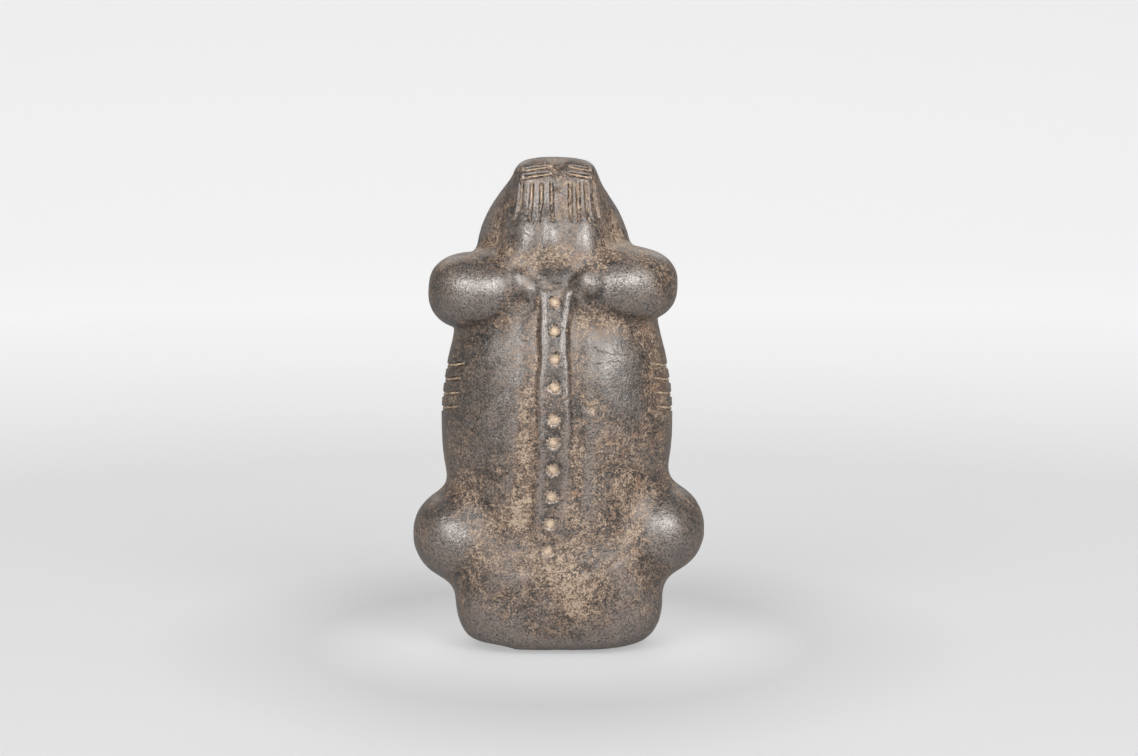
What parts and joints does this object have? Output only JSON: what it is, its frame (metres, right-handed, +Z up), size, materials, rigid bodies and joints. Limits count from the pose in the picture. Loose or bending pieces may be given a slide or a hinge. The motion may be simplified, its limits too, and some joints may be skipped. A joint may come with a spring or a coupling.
{
  "type": "carved stone figure",
  "caption": "Standing zemi stone: a crouching figure with a ribbed spine, shoulder and haunch knobs and a lined nape, carved from one dark stone.",
  "frame": {"origin": "on the flat sole that the figure stands on, under the middle of its outline", "axes": "+Z up from the sole to the crown, +Y the way the figure looks, so the carved back faces -Y, and +X to the right of someone looking at the back"},
  "size_m": [0.0984, 0.0542, 0.1653],
  "materials": {
    "dark_stone": "pecked, ground and part polished, with pale deposit in the hollows",
    "mineral_fill": "matt and crumbly"
  },
  "bodies": {
    "root": {"stone": "dark_stone", "spine_dot_fill_1": "mineral_fill", "spine_dot_fill_2": "mineral_fill", "spine_dot_fill_3": "mineral_fill", "spine_dot_fill_4": "mineral_fill", "spine_dot_fill_5": "mineral_fill", "spine_dot_fill_6": "mineral_fill", "spine_dot_fill_7": "mineral_fill", "spine_dot_fill_8": "mineral_fill", "spine_dot_fill_9": "mineral_fill", "spine_dot_fill_10": "mineral_fill", "flank_line_fill_left_1": "mineral_fill", "flank_line_fill_left_2": "mineral_fill", "flank_line_fill_left_3": "mineral_fill", "flank_line_fill_left_4": "mineral_fill", "flank_line_fill_right_1": "mineral_fill", "flank_line_fill_right_2": "mineral_fill", "flank_line_fill_right_3": "mineral_fill", "flank_line_fill_right_4": "mineral_fill", "nape_band_fill_left_1": "mineral_fill", "nape_band_fill_left_2": "mineral_fill", "nape_band_fill_right_1": "mineral_fill", "nape_band_fill_right_2": "mineral_fill", "nape_line_fill_left_1": "mineral_fill", "nape_line_fill_left_2": "mineral_fill", "nape_line_fill_left_3": "mineral_fill", "nape_line_fill_left_4": "mineral_fill", "nape_line_fill_right_1": "mineral_fill", "nape_line_fill_right_2": "mineral_fill", "nape_line_fill_right_3": "mineral_fill", "nape_line_fill_right_4": "mineral_fill"}
  },
  "joints": []
}
